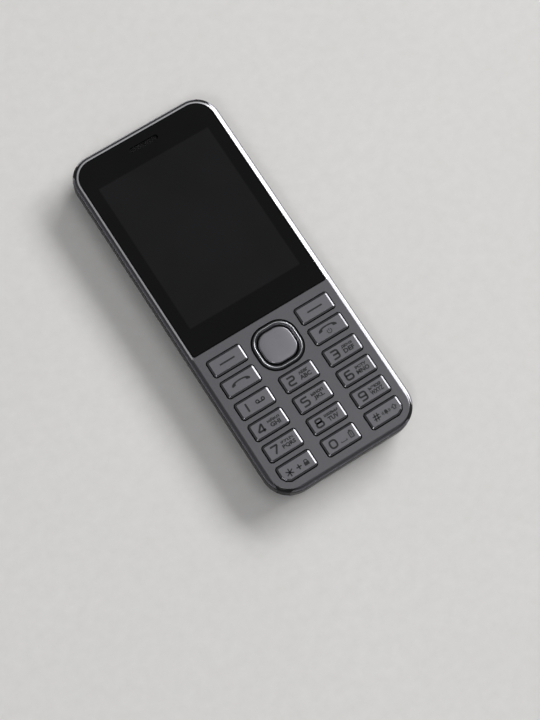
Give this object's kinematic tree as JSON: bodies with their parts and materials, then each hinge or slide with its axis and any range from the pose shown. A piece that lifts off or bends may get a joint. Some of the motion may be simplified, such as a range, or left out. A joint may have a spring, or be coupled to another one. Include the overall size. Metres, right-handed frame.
{
  "type": "feature phone",
  "caption": "Slim bar-shaped keypad phone with a large dark display, a bright navigation ring, sprung keys, a removable rear cover and a battery.",
  "frame": {"origin": "middle of the footprint on the lowest plane of the back, the phone lying on its back", "axes": "+X to the user's right, +Y towards the earpiece end, +Z out of the screen"},
  "size_m": [0.0564, 0.1352, 0.0124],
  "materials": {
    "silver_housing": "satin silver-grey",
    "key_silver": "satin silver-grey caps with polished edges",
    "window_black": "gloss black pane",
    "mesh_metal": "fine dark mesh",
    "component_black": "matt black",
    "panel_dark": "dark panel in a steel rim",
    "foam": "black foam",
    "silicone": "milky silicone",
    "film": "clear film with steel domes",
    "film_plate": "thin stamped plate",
    "board_green": "green solder mask",
    "frame_plastic": "matt black moulded plastic",
    "screw_steel": "blackened steel",
    "contact_gold": "gold-plated",
    "stamped_steel": "stamped steel",
    "led_ceramic": "pale LED body",
    "bezel_gloss": "gloss black",
    "lens_glass": "dark coated glass",
    "lens_clear": "frosted clear",
    "ring_chrome": "polished",
    "cover_plastic": "satin grey",
    "battery_wrap": "dark grey wrap, no print"
  },
  "bodies": {
    "phone": {"front_housing": "silver_housing", "display_window": "window_black", "earpiece_mesh": "mesh_metal", "earpiece_receiver": "component_black", "display_module": "panel_dark", "display_gasket": "foam", "keypad_mat": "silicone", "dome_sheet": "film", "main_board": "board_green", "rear_housing": "frame_plastic", "housing_screws": "screw_steel", "battery_contacts": "contact_gold", "sim_socket_left": "stamped_steel", "sim_socket_right": "stamped_steel", "memory_card_socket": "stamped_steel", "camera_module": "component_black", "torch_led": "led_ceramic", "camera_bezel": "bezel_gloss", "camera_glass": "lens_glass", "torch_lens": "lens_clear", "loudspeaker": "component_black", "vibration_motor": "stamped_steel", "microphone": "stamped_steel", "audio_jack": "component_black", "usb_socket": "stamped_steel", "shield_can_left": "stamped_steel", "shield_can_right": "stamped_steel", "aerial": "contact_gold"},
    "key_soft_left": {"key_soft_left": "key_silver"},
    "key_soft_right": {"key_soft_right": "key_silver"},
    "key_call": {"key_call": "key_silver"},
    "key_end": {"key_end": "key_silver"},
    "key_1": {"key_1": "key_silver"},
    "key_2": {"key_2": "key_silver"},
    "key_3": {"key_3": "key_silver"},
    "key_4": {"key_4": "key_silver"},
    "key_5": {"key_5": "key_silver"},
    "key_6": {"key_6": "key_silver"},
    "key_7": {"key_7": "key_silver"},
    "key_8": {"key_8": "key_silver"},
    "key_9": {"key_9": "key_silver"},
    "key_star": {"key_star": "key_silver"},
    "key_0": {"key_0": "key_silver"},
    "key_hash": {"key_hash": "key_silver"},
    "rocker": {"nav_rocker": "film_plate"},
    "ring": {"nav_ring": "ring_chrome"},
    "ok": {"nav_ok": "key_silver"},
    "cover": {"rear_cover": "cover_plastic"},
    "battery": {"battery": "battery_wrap"}
  },
  "joints": [
    {"name": "key_soft_left_press", "type": "slide", "parent": "phone", "child": "key_soft_left", "axis": [0, 0, -1], "range_m": [0, 0.0003], "stiffness_N_per_m": 1500, "springref_m": -0.0005},
    {"name": "key_soft_right_press", "type": "slide", "parent": "phone", "child": "key_soft_right", "axis": [0, 0, -1], "range_m": [0, 0.0003], "stiffness_N_per_m": 1500, "springref_m": -0.0005},
    {"name": "key_call_press", "type": "slide", "parent": "phone", "child": "key_call", "axis": [0, 0, -1], "range_m": [0, 0.0003], "stiffness_N_per_m": 1500, "springref_m": -0.0005},
    {"name": "key_end_press", "type": "slide", "parent": "phone", "child": "key_end", "axis": [0, 0, -1], "range_m": [0, 0.0003], "stiffness_N_per_m": 1500, "springref_m": -0.0005},
    {"name": "key_1_press", "type": "slide", "parent": "phone", "child": "key_1", "axis": [0, 0, -1], "range_m": [0, 0.0003], "stiffness_N_per_m": 1500, "springref_m": -0.0005},
    {"name": "key_2_press", "type": "slide", "parent": "phone", "child": "key_2", "axis": [0, 0, -1], "range_m": [0, 0.0003], "stiffness_N_per_m": 1500, "springref_m": -0.0005},
    {"name": "key_3_press", "type": "slide", "parent": "phone", "child": "key_3", "axis": [0, 0, -1], "range_m": [0, 0.0003], "stiffness_N_per_m": 1500, "springref_m": -0.0005},
    {"name": "key_4_press", "type": "slide", "parent": "phone", "child": "key_4", "axis": [0, 0, -1], "range_m": [0, 0.0003], "stiffness_N_per_m": 1500, "springref_m": -0.0005},
    {"name": "key_5_press", "type": "slide", "parent": "phone", "child": "key_5", "axis": [0, 0, -1], "range_m": [0, 0.0003], "stiffness_N_per_m": 1500, "springref_m": -0.0005},
    {"name": "key_6_press", "type": "slide", "parent": "phone", "child": "key_6", "axis": [0, 0, -1], "range_m": [0, 0.0003], "stiffness_N_per_m": 1500, "springref_m": -0.0005},
    {"name": "key_7_press", "type": "slide", "parent": "phone", "child": "key_7", "axis": [0, 0, -1], "range_m": [0, 0.0003], "stiffness_N_per_m": 1500, "springref_m": -0.0005},
    {"name": "key_8_press", "type": "slide", "parent": "phone", "child": "key_8", "axis": [0, 0, -1], "range_m": [0, 0.0003], "stiffness_N_per_m": 1500, "springref_m": -0.0005},
    {"name": "key_9_press", "type": "slide", "parent": "phone", "child": "key_9", "axis": [0, 0, -1], "range_m": [0, 0.0003], "stiffness_N_per_m": 1500, "springref_m": -0.0005},
    {"name": "key_star_press", "type": "slide", "parent": "phone", "child": "key_star", "axis": [0, 0, -1], "range_m": [0, 0.0003], "stiffness_N_per_m": 1500, "springref_m": -0.0005},
    {"name": "key_0_press", "type": "slide", "parent": "phone", "child": "key_0", "axis": [0, 0, -1], "range_m": [0, 0.0003], "stiffness_N_per_m": 1500, "springref_m": -0.0005},
    {"name": "key_hash_press", "type": "slide", "parent": "phone", "child": "key_hash", "axis": [0, 0, -1], "range_m": [0, 0.0003], "stiffness_N_per_m": 1500, "springref_m": -0.0005},
    {"name": "ok_press", "type": "slide", "parent": "phone", "child": "ok", "axis": [0, 0, -1], "range_m": [0, 0.0003], "stiffness_N_per_m": 1500, "springref_m": -0.0005},
    {"name": "ring_up_down", "type": "hinge", "parent": "phone", "child": "rocker", "pos_m": [0, -0.02225, 0.0088], "axis": [1, 0, 0], "range_deg": [-1.2, 1.2], "stiffness_Nm_per_rad": 0.08},
    {"name": "ring_left_right", "type": "hinge", "parent": "rocker", "child": "ring", "pos_m": [0, -0.02225, 0.0091], "axis": [0, 1, 0], "range_deg": [-1.2, 1.2], "stiffness_Nm_per_rad": 0.08},
    {"name": "cover_off", "type": "slide", "parent": "phone", "child": "cover", "axis": [0, 0, -1], "range_m": [0, 0.03]},
    {"name": "battery_out", "type": "slide", "parent": "phone", "child": "battery", "axis": [0, 0, -1], "range_m": [0, 0.015]}
  ],
  "couplings": [
    {"joint": "battery_out", "follows": "cover_off", "ratio": 0.5}
  ]
}
